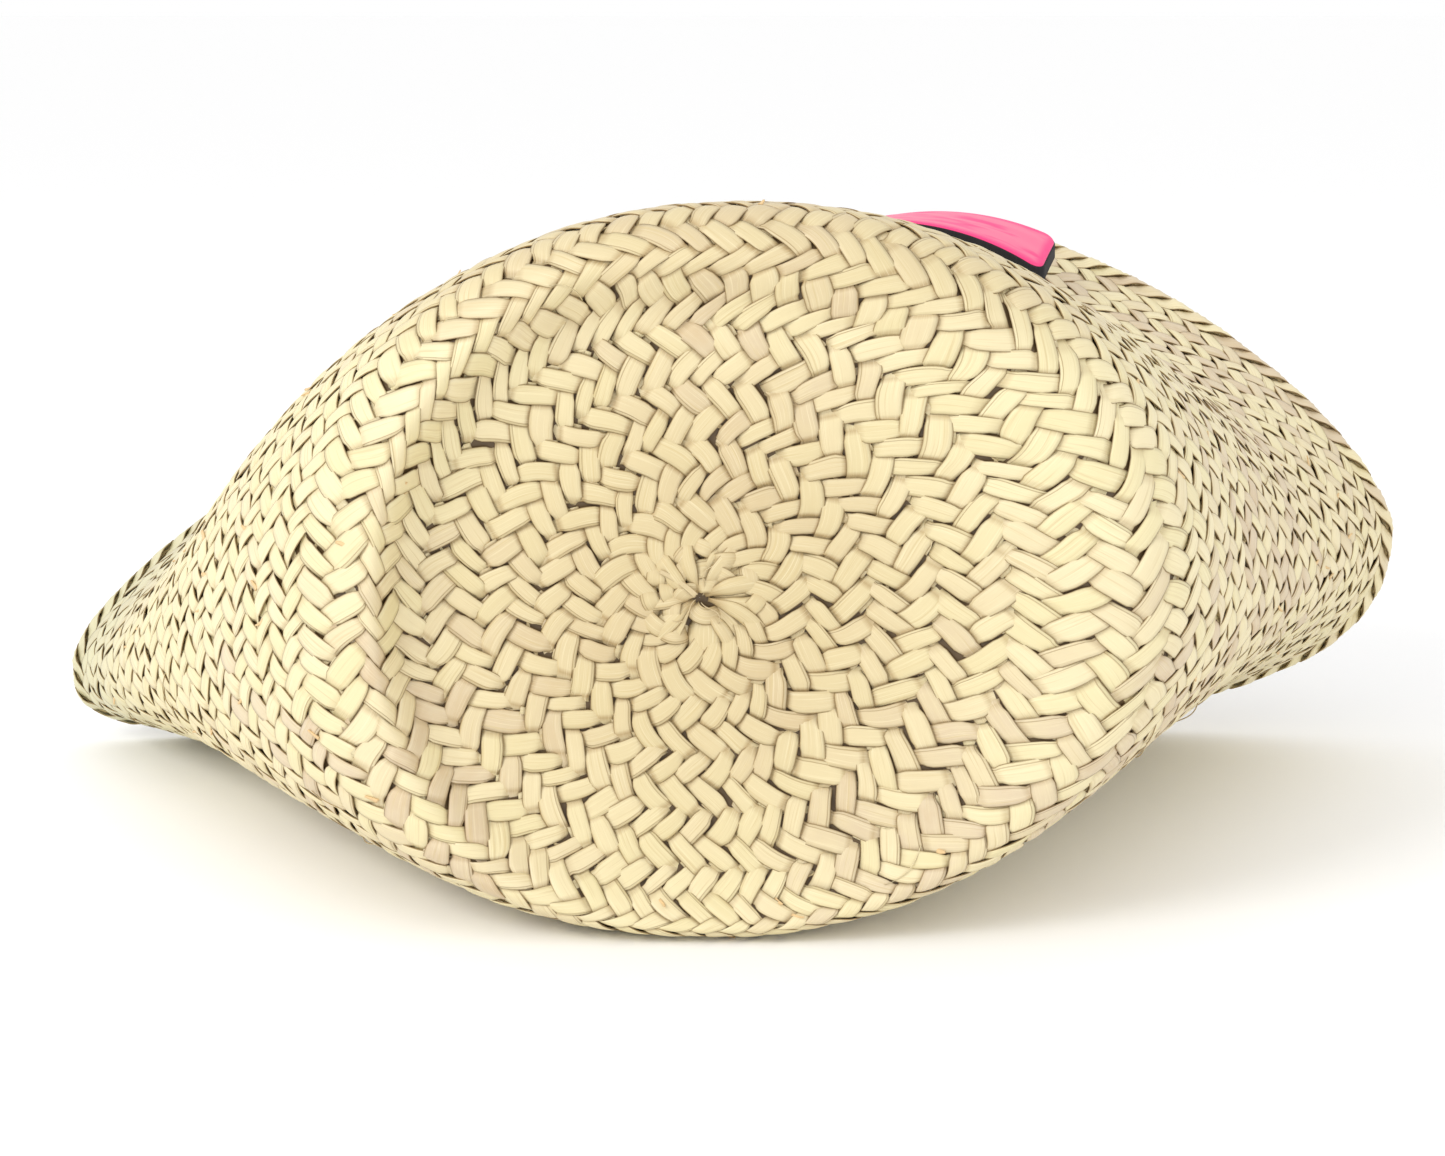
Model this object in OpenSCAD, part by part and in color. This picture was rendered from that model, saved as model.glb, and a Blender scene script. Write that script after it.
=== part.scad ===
// Plaited palm-leaf market basket with two leather grab handles.
// It lies on its side: round base at the front (-Y), oval mouth at the back (+Y).
// Millimetres, +X right, +Z up, floor at z = 0.

/* [Plait] */
// wall thickness of the plait
wall = 3; // [2:0.5:4]
// radius of the starting knot
knot_radius = 22; // [16:1:30]
// gap between two turns, filled by the lacing cord
turn_gap = 2.6; // [2.4:0.1:4]
// diameter of the lacing cord
lace_diameter = 2; // [1:0.1:2]
// diameter of the rolled edge at the mouth
rim_diameter = 4.4; // [3:0.2:5]

/* [Mouth] */
// how far the lower lip is arched up off the floor
lip_lift = 28; // [26:1:30]
// half width of that arch
lip_lift_width = 95; // [90:5:110]

/* [Floor] */
// how far the resting side is pressed flat by the weight of the basket
floor_press = 1.2; // [1:0.2:3]

/* [Handles] */
// width of a handle strap
handle_width = 31; // [24:1:32]
// distance from the top of the arch to the longer end of a strap
long_end = 57; // [50:1:58]
// distance from the top of the arch to the shorter end
short_end = 43; // [40:1:46]
// thickness of each leather layer
leather = 1; // [0.8:0.1:1]
// thickness of the black core
core = 4.4; // [3.6:0.1:4.4]
// corner radius of the strap ends
corner = 4; // [2:0.5:8]

/* [Hidden] */

plait_turns = 10;
segments = 64;
rows_per_turn = 3;
origin_shift = [-3.5, -150, 0];

// Shape of the wall. Each list holds one quantity at the stations below.
// A station is a distance along the wall from the centre of the base.
station  = [ 0,   60,   100,   124,  148,  235,  330,  375,  425];
// distance back from the front of the base
depth    = [ 18,  15,   9,     0,    20,   105,  200,  247,  300];
// change of depth per millimetre of x, and its fall-off per (100 mm of x) squared
lean     = [-.04, -.06, -.07,  0,    0,    0,    .01,  .01,  .01];
bow      = [ 0,   0,    0,     0,    0,    0,    1.6,  2.4,  3.2];
// x and z of the left, top, right and bottom points of the section
left_x   = [-8,  -68,  -108,  -122, -150, -202, -247, -267, -288];
left_z   = [122,  122,  122,   122,  116,  88,   58,   48,   39];
top_x    = [-8,  -6,   -2,     0,    5,    20,   62,   82,   110];
top_z    = [122,  182,  222,   244,  259,  246,  219,  218,  229];
right_x  = [-8,   56,   104,   140,  164,  205,  250,  272,  295];
right_z  = [122,  122,  122,   122,  120,  105,  94,   96,   98];
bottom_x = [-8,  -6,   -2,     0,    0,    0,    0,    0,    0];
bottom_z = [122,  62,   22,    6,    0,    0,    0,    0,    0];
// fullness of the four corners of the section: 2 is an ellipse, more is squarer
full_tr  = [ 2,   2,    2.1,   2.1,  2.1,  2,    1.7,  1.6,  1.46];
full_tl  = [ 2,   2,    2.1,   2.15, 2.1,  1.98, 1.65, 1.5,  1.43];
full_bl  = [ 2,   2,    2.1,   2.4,  2.5,  2.7,  2.5,  3,    4];
full_br  = [ 2,   2,    2.1,   2,    1.9,  1.85, 1.85, 2.1,  2.6];

wall_length = station[len(station) - 1];
turn_pitch = (wall_length - rim_diameter / 2 - knot_radius) / plait_turns;

// --- wall surface ---------------------------------------------------------

// index of the interval of stations that holds v
function interval(v, i = 0) = i >= len(station) - 2 || v < station[i + 1] ? i : interval(v, i + 1);

function slope(list, i) =
    let (a = max(i - 1, 0), b = min(i + 1, len(station) - 1))
    (list[b] - list[a]) / (station[b] - station[a]);

// smooth curve through a list of values, read at v
function along(list, v) =
    let (i = interval(v), h = station[i + 1] - station[i], t = (v - station[i]) / h)
    (2 * t^3 - 3 * t^2 + 1) * list[i] + (t^3 - 2 * t^2 + t) * h * slope(list, i)
    + (3 * t^2 - 2 * t^3) * list[i + 1] + (t^3 - t^2) * h * slope(list, i + 1);

function ramp(v, start, end) =
    let (t = min(max((v - start) / (end - start), 0), 1)) t * t * (3 - 2 * t);

// point of the outer surface at distance v and direction a (0 is right, 90 is up)
function outer_point(v, a) =
    let (c = cos(a), s = sin(a),
         side = c >= 0 ? [along(right_x, v), along(right_z, v)] : [along(left_x, v), along(left_z, v)],
         pole = s >= 0 ? [along(top_x, v), along(top_z, v)] : [along(bottom_x, v), along(bottom_z, v)],
         n = s >= 0 ? (c >= 0 ? along(full_tr, v) : along(full_tl, v))
                    : (c >= 0 ? along(full_br, v) : along(full_bl, v)),
         reach = pow(pow(abs(c), n) + pow(abs(s), n), -1 / n),
         x = pole[0] + (side[0] - pole[0]) * abs(c) * reach,
         z = side[1] + (pole[1] - side[1]) * abs(s) * reach,
         lift = lip_lift * ramp(v, 280, 425) * exp(-pow(x / lip_lift_width, 2)) * max(0, -s * reach))
    [x, along(depth, v) + along(lean, v) * x - along(bow, v) * pow(x / 100, 2), max(0, z + lift - floor_press)];

function unit(p) = p / norm(p);

function outward(v, a) =
    unit(cross(outer_point(v + 0.5, a) - outer_point(max(v - 0.5, 0.1), a),
               outer_point(v, a + 1) - outer_point(v, a - 1)));

// point at a depth below the outer surface, moved to the part's origin
function wall_point(v, a, below) =
    outer_point(v, a) - below * outward(v, a) + origin_shift;

// --- solids swept round the wall ------------------------------------------

// faces that close a tube of rings; each ring has `count` points, rings run round the basket
function torus_faces(rings, count) =
    [for (i = [0 : rings - 1], j = [0 : count - 1])
        let (k = (i + 1) % rings, m = (j + 1) % count)
        each [[i * count + j, k * count + j, k * count + m],
              [i * count + j, k * count + m, i * count + m]]];

// band of wall between distances v0 and v1
module band(v0, v1) {
    rows = rows_per_turn;
    section = [each [for (i = [0 : rows]) [v0 + (v1 - v0) * i / rows, 0]],
               each [for (i = [rows : -1 : 0]) [v0 + (v1 - v0) * i / rows, wall]]];
    points = [for (j = [0 : segments - 1], p = section) wall_point(p[0], j * 360 / segments, p[1])];
    polyhedron(points, torus_faces(segments, len(section)));
}

// round cord in the wall at distance v
module cord_ring(v, diameter, sides) {
    points = [for (j = [0 : segments - 1], k = [0 : sides - 1])
        wall_point(v + cos(k * 360 / sides) * diameter / 2, j * 360 / segments,
                   wall / 2 - sin(k * 360 / sides) * diameter / 2)];
    polyhedron(points, torus_faces(segments, sides));
}

function turn_start(i) = knot_radius + (i - 1) * turn_pitch;

module knot() {
    color("#e6dcae")
    hull()
    band(3, knot_radius - turn_gap);
}

module turn(i) {
    last = i == plait_turns;
    color("#e9dfb4")
    band(turn_start(i), turn_start(i + 1) - (last ? 0.3 : turn_gap));
}

module lacing(i) {
    color("#cdbf8c")
    cord_ring(turn_start(i) - turn_gap / 2, lace_diameter, 6);
}

module rim_roll() {
    color("#dfd4a4")
    cord_ring(wall_length, rim_diameter, 8);
}

// --- handles --------------------------------------------------------------

strap_thickness = 2 * leather + core;

// outline of a strap seen from above, with rounded corners
module strap_outline() {
    translate([-short_end + corner, -handle_width / 2])
    square([short_end + long_end - 2 * corner, handle_width]);
    translate([-short_end, -handle_width / 2 + corner])
    square([short_end + long_end, handle_width - 2 * corner]);
    for (x = [-short_end + corner, long_end - corner], y = [-1, 1])
        translate([x, y * (handle_width / 2 - corner)])
        circle(corner, $fn = 32);
}

// one layer of an arched strap; heights are measured from the side that faces the wall
module strap_layer(low, high, arch_radius, arch_turn) {
    intersection() {
        translate([0, 0, -arch_radius])
        rotate([0, 0, -arch_turn])
        rotate([90, 0, 0])
        difference() {
            cylinder(r = arch_radius + high, h = 200, center = true, $fn = 180);
            cylinder(r = arch_radius + low, h = 202, center = true, $fn = 180);
        }
        translate([0, 0, -40])
        linear_extrude(60)
        strap_outline();
    }
}

// the upper strap sits askew over the lip, the lower one lies flatter under it
module at_upper_strap() {
    translate([82.8, 251.3, 230] + origin_shift)
    rotate([0, 0, -19])
    rotate([4, 0, 0])
    children();
}

module at_lower_strap() {
    translate([-12, 276, 9.4] + origin_shift)
    rotate([5, 0, 0])
    rotate([180, 0, 0])
    children();
}

module upper_layer(low, high) {
    at_upper_strap()
    strap_layer(low, high, 90, 28);
}

module lower_layer(low, high) {
    at_lower_strap()
    strap_layer(low, high, 200, 0);
}

// places children at wall distance v and direction a, pointing out of the wall
module on_wall(v, a, below) {
    n = outward(v, a);
    translate(wall_point(v, a, below))
    rotate([0, acos(n[2]), atan2(n[1], n[0])])
    children();
}

// cord lashing that stands on the wall under a strap end
module lashing(v, a, height) {
    on_wall(v, a, -0.5)
    cylinder(d = 5, h = height, $fn = 32);
}

// leather button that anchors a lashing inside the wall
module button(v, a) {
    on_wall(v, a, wall + 2.4)
    cylinder(d = 16, h = 1.8, $fn = 48);
}

module upper_leather() {
    color("#f0567f")
    upper_layer(leather + core, strap_thickness);
}

module upper_core() {
    color("#1c1c1f")
    upper_layer(leather, leather + core);
}

module upper_lining() {
    color("#f0567f")
    upper_layer(0, leather);
}

module upper_lashings() {
    color("#cdbf8c") {
        lashing(367, 73.5, 8);
        lashing(391, 96.5, 6);
    }
}

module upper_buttons() {
    color("#f0567f") {
        button(367, 73.5);
        button(391, 96.5);
    }
}

module lower_leather() {
    color("#f0567f")
    lower_layer(leather + core, strap_thickness);
}

module lower_core() {
    color("#1c1c1f")
    lower_layer(leather, leather + core);
}

module lower_lining() {
    color("#f0567f")
    lower_layer(0, leather);
}

module lower_lashings() {
    color("#cdbf8c") {
        lashing(402, 277.6, 4.2);
        lashing(403, 260, 4.9);
    }
}

module lower_buttons() {
    color("#f0567f") {
        button(402, 277.6);
        button(403, 260);
    }
}

knot();
turn(1);  // turn_01
turn(2);  // turn_02
turn(3);  // turn_03
turn(4);  // turn_04
turn(5);  // turn_05
turn(6);  // turn_06
turn(7);  // turn_07
turn(8);  // turn_08
turn(9);  // turn_09
turn(10);  // turn_10
lacing(1);  // lacing_01
lacing(2);  // lacing_02
lacing(3);  // lacing_03
lacing(4);  // lacing_04
lacing(5);  // lacing_05
lacing(6);  // lacing_06
lacing(7);  // lacing_07
lacing(8);  // lacing_08
lacing(9);  // lacing_09
lacing(10);  // lacing_10
rim_roll();
upper_leather();
upper_core();
upper_lining();
upper_lashings();
upper_buttons();
lower_leather();
lower_core();
lower_lining();
lower_lashings();
lower_buttons();
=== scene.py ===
"""Plaited palm-leaf market basket lying on its side, with two pink leather grab handles."""
import math

import bpy
import numpy as np
from mathutils import Matrix, Vector


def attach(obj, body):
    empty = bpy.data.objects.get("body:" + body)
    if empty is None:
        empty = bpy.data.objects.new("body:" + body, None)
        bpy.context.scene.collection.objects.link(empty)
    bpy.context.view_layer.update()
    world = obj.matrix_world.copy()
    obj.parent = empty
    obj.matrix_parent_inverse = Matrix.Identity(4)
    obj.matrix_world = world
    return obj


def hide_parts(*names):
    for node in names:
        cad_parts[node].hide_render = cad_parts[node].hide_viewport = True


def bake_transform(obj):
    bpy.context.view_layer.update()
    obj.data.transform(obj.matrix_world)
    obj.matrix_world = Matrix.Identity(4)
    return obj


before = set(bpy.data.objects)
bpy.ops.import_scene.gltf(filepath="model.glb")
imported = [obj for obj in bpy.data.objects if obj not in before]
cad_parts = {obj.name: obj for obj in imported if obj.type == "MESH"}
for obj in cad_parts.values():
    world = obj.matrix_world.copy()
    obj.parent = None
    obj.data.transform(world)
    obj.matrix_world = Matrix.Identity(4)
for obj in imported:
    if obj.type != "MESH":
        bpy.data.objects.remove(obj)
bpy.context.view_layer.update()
MM = 0.001
TAU = 2 * math.pi

# --- driving dimensions, in millimetres ------------------------------------------------------

# Shape of the wall. Each list holds one quantity at the stations, which are distances
# along the wall from the centre of the base.
STATION = np.array([0, 60, 100, 124, 148, 235, 330, 375, 425], float)
PROFILE = {
    "depth": [18, 15, 9, 0, 20, 105, 200, 247, 300],
    "lean": [-0.04, -0.06, -0.07, 0, 0, 0, 0.01, 0.01, 0.01],
    "bow": [0, 0, 0, 0, 0, 0, 1.6, 2.4, 3.2],
    "left_x": [-8, -68, -108, -122, -150, -202, -247, -267, -288],
    "left_z": [122, 122, 122, 122, 116, 88, 58, 48, 39],
    "top_x": [-8, -6, -2, 0, 5, 20, 62, 82, 110],
    "top_z": [122, 182, 222, 244, 259, 246, 219, 218, 229],
    "right_x": [-8, 56, 104, 140, 164, 205, 250, 272, 295],
    "right_z": [122, 122, 122, 122, 120, 105, 94, 96, 98],
    "bottom_x": [-8, -6, -2, 0, 0, 0, 0, 0, 0],
    "bottom_z": [122, 62, 22, 6, 0, 0, 0, 0, 0],
    "full_tr": [2, 2, 2.1, 2.1, 2.1, 2, 1.7, 1.6, 1.46],
    "full_tl": [2, 2, 2.1, 2.15, 2.1, 1.98, 1.65, 1.5, 1.43],
    "full_bl": [2, 2, 2.1, 2.4, 2.5, 2.7, 2.5, 3, 4],
    "full_br": [2, 2, 2.1, 2, 1.9, 1.85, 1.85, 2.1, 2.6],
}
ORIGIN_SHIFT = np.array([-3.5, -150, 0])
LIP_LIFT = 28
LIP_LIFT_WIDTH = 95
FLOOR_PRESS = 1.2
WALL = 3.0
KNOT_RADIUS = 22.0
KNOT_OVERLAP = 1.3  # by how much the first turn laps over the knot
RIM_DIAMETER = 4.4
TURNS = 10
WALL_LENGTH = STATION[-1]
TURN_PITCH = (WALL_LENGTH - RIM_DIAMETER / 2 - KNOT_RADIUS) / TURNS

# Plait
ROWS = 8  # strip crossings across one turn
ROW_STEP = TURN_PITCH / ROWS
STRIP_STEP = 2 * ROW_STEP  # from one strip to the next along the plait
STRIP_WIDTH = ROW_STEP * math.sqrt(2)
UNDER = 0.45  # rows by which a strip goes on under its neighbours in the next turn
SEAM_LAP = 1.8  # rows by which the strips of one lean start inside the turn before
SPLIT_TURNS = 2  # inner turns that take in more strips half way
SPLIT_RELIEF = 1.25  # floats of those turns stand this much higher
LEAF = 0.5  # thickness of a strip
RELIEF = 0.72  # height of a float over the middle of the wall
FLATNESS = 2.2  # how flat a float is between its two ends
DIVE = 0.42  # how far along the strip narrows where it goes under
SHADOW_DEPTH = 0.3  # of the dark painted-shadow sheet below the middle of the wall
ROLL = RIM_DIAMETER / 2 + 0.6  # radius at which strips fold over the rim
KNOT_AT = (-11.5, 122)  # x and z of the middle of the base
BODY = "basket"

# Handles
HANDLE_WIDTH = 31
LONG_END = 57
SHORT_END = 43
CORNER = 6
LINING = 1.0  # thickness of the leather against the wall
CORE = 4.4
COVER = 1.0  # thickness of the leather on top
LINING_INSET = 1.4
DISC_RADIUS = 8
DISC_GAP = 0.7  # between a backing disc and the wall


# --- surface of the wall ---------------------------------------------------------------------


def along(name, v):
    """Smooth curve through one list of PROFILE, read at wall distances v."""
    values = np.array(PROFILE[name], float)
    slope = np.empty_like(values)
    slope[1:-1] = (values[2:] - values[:-2]) / (STATION[2:] - STATION[:-2])
    slope[0] = (values[1] - values[0]) / (STATION[1] - STATION[0])
    slope[-1] = (values[-1] - values[-2]) / (STATION[-1] - STATION[-2])
    i = np.clip(np.searchsorted(STATION, v, side="right") - 1, 0, len(STATION) - 2)
    h = STATION[i + 1] - STATION[i]
    t = (v - STATION[i]) / h
    start = (2 * t**3 - 3 * t**2 + 1) * values[i] + (t**3 - 2 * t**2 + t) * h * slope[i]
    end = (3 * t**2 - 2 * t**3) * values[i + 1] + (t**3 - t**2) * h * slope[i + 1]
    return start + end


def turn_start(index):
    """Wall distance at which a turn of the plait starts."""
    return KNOT_RADIUS - KNOT_OVERLAP + index * TURN_PITCH


def smooth_ramp(x, start, end):
    """0 before start, 1 past end, smooth in between."""
    t = np.clip((x - start) / (end - start), 0, 1)
    return t * t * (3 - 2 * t)


def outer_surface(v, a):
    """Points of the outer surface at wall distance v and direction a (0 is right, in radians)."""
    c, s = np.cos(a), np.sin(a)
    right, up = c >= 0, s >= 0
    side_x = np.where(right, along("right_x", v), along("left_x", v))
    side_z = np.where(right, along("right_z", v), along("left_z", v))
    pole_x = np.where(up, along("top_x", v), along("bottom_x", v))
    pole_z = np.where(up, along("top_z", v), along("bottom_z", v))
    full_top = np.where(right, along("full_tr", v), along("full_tl", v))
    full_bottom = np.where(right, along("full_br", v), along("full_bl", v))
    full = np.where(up, full_top, full_bottom)
    reach = (np.abs(c) ** full + np.abs(s) ** full) ** (-1 / full)
    x = pole_x + (side_x - pole_x) * np.abs(c) * reach
    z = side_z + (pole_z - side_z) * np.abs(s) * reach
    arch = np.exp(-((x / LIP_LIFT_WIDTH) ** 2)) * np.maximum(0, -s * reach)
    z = z + LIP_LIFT * smooth_ramp(v, 280, 425) * arch - FLOOR_PRESS
    y = along("depth", v) + along("lean", v) * x - along("bow", v) * (x / 100) ** 2
    return np.stack([x, y, np.maximum(z, 0)], -1) + ORIGIN_SHIFT


def unit(vectors):
    return vectors / (np.linalg.norm(vectors, axis=-1, keepdims=True) + 1e-12)


class Wall:
    """Middle surface of the wall, read at distance v and share f of the way round."""

    def __init__(self, around=1440):
        self.v = np.concatenate([[0.05], np.arange(1.0, WALL_LENGTH + 0.5)])
        self.around = around
        direction = np.linspace(-math.pi / 2, 1.5 * math.pi, 1801)
        share = np.arange(around) / around
        rows = []
        girths = []
        for v in self.v:
            ring = outer_surface(np.full_like(direction, v), direction)
            steps = np.linalg.norm(np.diff(ring, axis=0), axis=1)
            length = np.concatenate([[0], np.cumsum(steps)])
            girths.append(length[-1])
            rows.append([np.interp(share * length[-1], length, ring[:, k]) for k in range(3)])
        outer = np.array(rows).transpose(0, 2, 1)
        self.girths = np.array(girths)
        outward = np.cross(
            np.gradient(outer, axis=0), np.roll(outer, -1, 1) - np.roll(outer, 1, 1)
        )
        self.normals = unit(outward)
        self.normals[0] = unit(self.normals[1].mean(axis=0))
        self.middle = outer - self.normals * WALL / 2

    def _read(self, table, v, f):
        i = np.interp(v, self.v, np.arange(len(self.v))).clip(0, len(self.v) - 1.001)
        j = np.mod(f, 1) * self.around
        i0 = np.floor(i).astype(int)
        j0 = np.floor(j).astype(int) % self.around
        j1 = (j0 + 1) % self.around
        a = (i - i0)[..., None]
        b = (j - np.floor(j))[..., None]
        low = table[i0, j0] * (1 - b) + table[i0, j1] * b
        high = table[i0 + 1, j0] * (1 - b) + table[i0 + 1, j1] * b
        return low * (1 - a) + high * a

    def girth(self, v):
        return np.interp(v, self.v, self.girths)

    def frame(self, v, f):
        """Point of the middle surface, its outward normal and the way towards the rim."""
        centre = self._read(self.middle, v, f)
        normal = unit(self._read(self.normals, v, f))
        onward = centre - self._read(self.middle, v - 2, f)
        onward = onward - normal * np.sum(onward * normal, -1, keepdims=True)
        return centre, normal, unit(onward)

    def point(self, v, f, height):
        """Point at a height over the middle surface. Past the rim the surface rolls over
        the edge and comes back along the inside."""
        v, f, height = np.broadcast_arrays(v, f, height)
        over = np.maximum(v - WALL_LENGTH, 0)
        turn = np.minimum(over / ROLL, math.pi)
        back = np.maximum(over - math.pi * ROLL, 0)
        centre, normal, onward = self.frame(np.minimum(v, WALL_LENGTH) - back, f)
        out = normal * np.cos(turn)[..., None] + onward * np.sin(turn)[..., None]
        return centre + out * height[..., None]


wall = Wall()


# --- meshes ------------------------------------------------------------------------------------


def new_piece(name, points_mm, faces, smooth=None, attributes=None):
    """A mesh object from points in millimetres and equal-sided faces."""
    mesh = bpy.data.meshes.new(name)
    points = np.asarray(points_mm, float).reshape(-1, 3) * MM
    faces = np.asarray(faces, np.int32)
    corners = faces.shape[1]
    mesh.vertices.add(len(points))
    mesh.vertices.foreach_set("co", points.astype(np.float32).ravel())
    mesh.loops.add(faces.size)
    mesh.loops.foreach_set("vertex_index", faces.ravel())
    mesh.polygons.add(len(faces))
    mesh.polygons.foreach_set("loop_start", np.arange(len(faces), dtype=np.int32) * corners)
    if smooth is None:
        smooth = np.ones(len(faces), bool)
    mesh.polygons.foreach_set("use_smooth", smooth)
    mesh.update(calc_edges=True)
    for key, values in (attributes or {}).items():
        layer = mesh.attributes.new(key, "FLOAT", "POINT")
        layer.data.foreach_set("value", np.asarray(values, np.float32).ravel())
    piece = bpy.data.objects.new(name, mesh)
    bpy.context.scene.collection.objects.link(piece)
    return piece


def tube_faces(count, steps, sides, closed=False):
    """Quads for a number of tubes, each of `steps` sections with `sides` points."""
    i, j = np.meshgrid(np.arange(steps if closed else steps - 1), np.arange(sides), indexing="ij")
    k = (i + 1) % steps
    m = (j + 1) % sides
    quads = np.stack([i * sides + j, i * sides + m, k * sides + m, k * sides + j], -1)
    quads = quads.reshape(-1, 4)
    if not closed:
        n = np.arange(sides // 2 - 1)
        cap = np.stack([n, n + 1, sides - 2 - n, sides - 1 - n], -1)
        quads = np.concatenate([quads, cap[:, ::-1], cap + (steps - 1) * sides])
    return (quads[None] + (np.arange(count) * steps * sides)[:, None, None]).reshape(-1, 4)


def finish_piece(piece, material, nodes, body=BODY):
    piece.data.materials.append(material)
    if body:
        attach(piece, body)
    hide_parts(*nodes)
    return piece


# --- leaf strips -------------------------------------------------------------------------------

# Section of a strip: share of the half width, and height in leaf thicknesses.
# The first five points are the top side, the last three the under side.
SECTION_SIDE = np.array([-1.0, -0.55, 0.0, 0.55, 1.0, 0.97, 0.0, -0.97])
SECTION_EDGE = np.array([0.3, 0.42, 0.45, 0.42, 0.3, -0.45, -0.4, -0.45])
SECTION_CROWN = np.array([0, 0.7, 1.0, 0.7, 0, 0, 0.6, 0])
SIDES = len(SECTION_SIDE)
# faces 4 and 7 of every section are the thin cut edges of the leaf
CRISP = np.array([True, True, True, True, False, True, True, False])


class Strips:
    """Collects leaf strips for one mesh, with the values that the leaf material reads."""

    def __init__(self):
        self.points = []
        self.faces = []
        self.smooth = []
        names = ("strip_w", "strip_u", "strip_id", "strip_hue", "strip_shade")
        self.values = {name: [] for name in names}
        self.total = 0

    def add(self, points, length, shade, ident, hue):
        """points is (strips, steps, sides, 3); length is millimetres along each strip and
        shade is 1 where the leaf gets full painted shade, lying between its neighbours."""
        count, steps = points.shape[:2]
        faces = tube_faces(count, steps, SIDES)
        flags = np.concatenate([np.tile(CRISP, steps - 1), np.zeros(2 * (SIDES // 2 - 1), bool)])
        self.points.append(points.reshape(-1, 3))
        self.faces.append(faces + self.total)
        self.smooth.append(np.tile(flags, count))
        shape = (count, steps, SIDES)
        self.values["strip_w"].append(np.broadcast_to(SECTION_SIDE, shape).ravel())
        self.values["strip_u"].append(np.broadcast_to(length[..., None], shape).ravel())
        self.values["strip_shade"].append(np.broadcast_to(shade[..., None], shape).ravel())
        self.values["strip_id"].append(np.broadcast_to(ident[:, None, None], shape).ravel())
        self.values["strip_hue"].append(np.broadcast_to(hue[:, None, None], shape).ravel())
        self.total += count * steps * SIDES

    def add_sheet(self, points, hue):
        """points is a (rows, columns, 3) grid that becomes one plain sheet."""
        rows, columns = points.shape[:2]
        i, j = np.meshgrid(np.arange(rows - 1), np.arange(columns - 1), indexing="ij")
        corner = (i * columns + j).ravel()
        quads = np.stack([corner, corner + 1, corner + columns + 1, corner + columns], -1)
        self.points.append(points.reshape(-1, 3))
        self.faces.append(quads + self.total)
        self.smooth.append(np.ones(len(quads), bool))
        for key, layer in self.values.items():
            layer.append(np.full(rows * columns, hue if key == "strip_hue" else 0.0))
        self.total += rows * columns

    def build(self, name):
        values = {key: np.concatenate(parts) for key, parts in self.values.items()}
        points = np.concatenate(self.points)
        points[:, 2] = np.maximum(points[:, 2], 0)
        # the front rim on the left has stayed greener than the rest
        green = smooth_ramp(-points[:, 0], 150, 270) * smooth_ramp(points[:, 1], 10, 110)
        values["green"] = green
        # the middle of the base is darker, and the front of the top is darker with painted shade
        from_middle = np.hypot(points[:, 0] - KNOT_AT[0], points[:, 2] - KNOT_AT[1])
        middle = (1 - smooth_ramp(from_middle, 20, 150)) * (points[:, 1] < -100)
        top = smooth_ramp(points[:, 2], 190, 245) * (1 - smooth_ramp(points[:, 1], -60, 60))
        values["darker_middle_shaded_top"] = np.maximum(middle, 0.8 * top)
        return new_piece(
            name, points, np.concatenate(self.faces), np.concatenate(self.smooth), values
        )


def section_heights(crown, lift):
    """Heights of the section points for strips with a crown (mm) and a base height."""
    return lift[..., None] + LEAF * SECTION_EDGE + crown[..., None] * SECTION_CROWN


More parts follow.
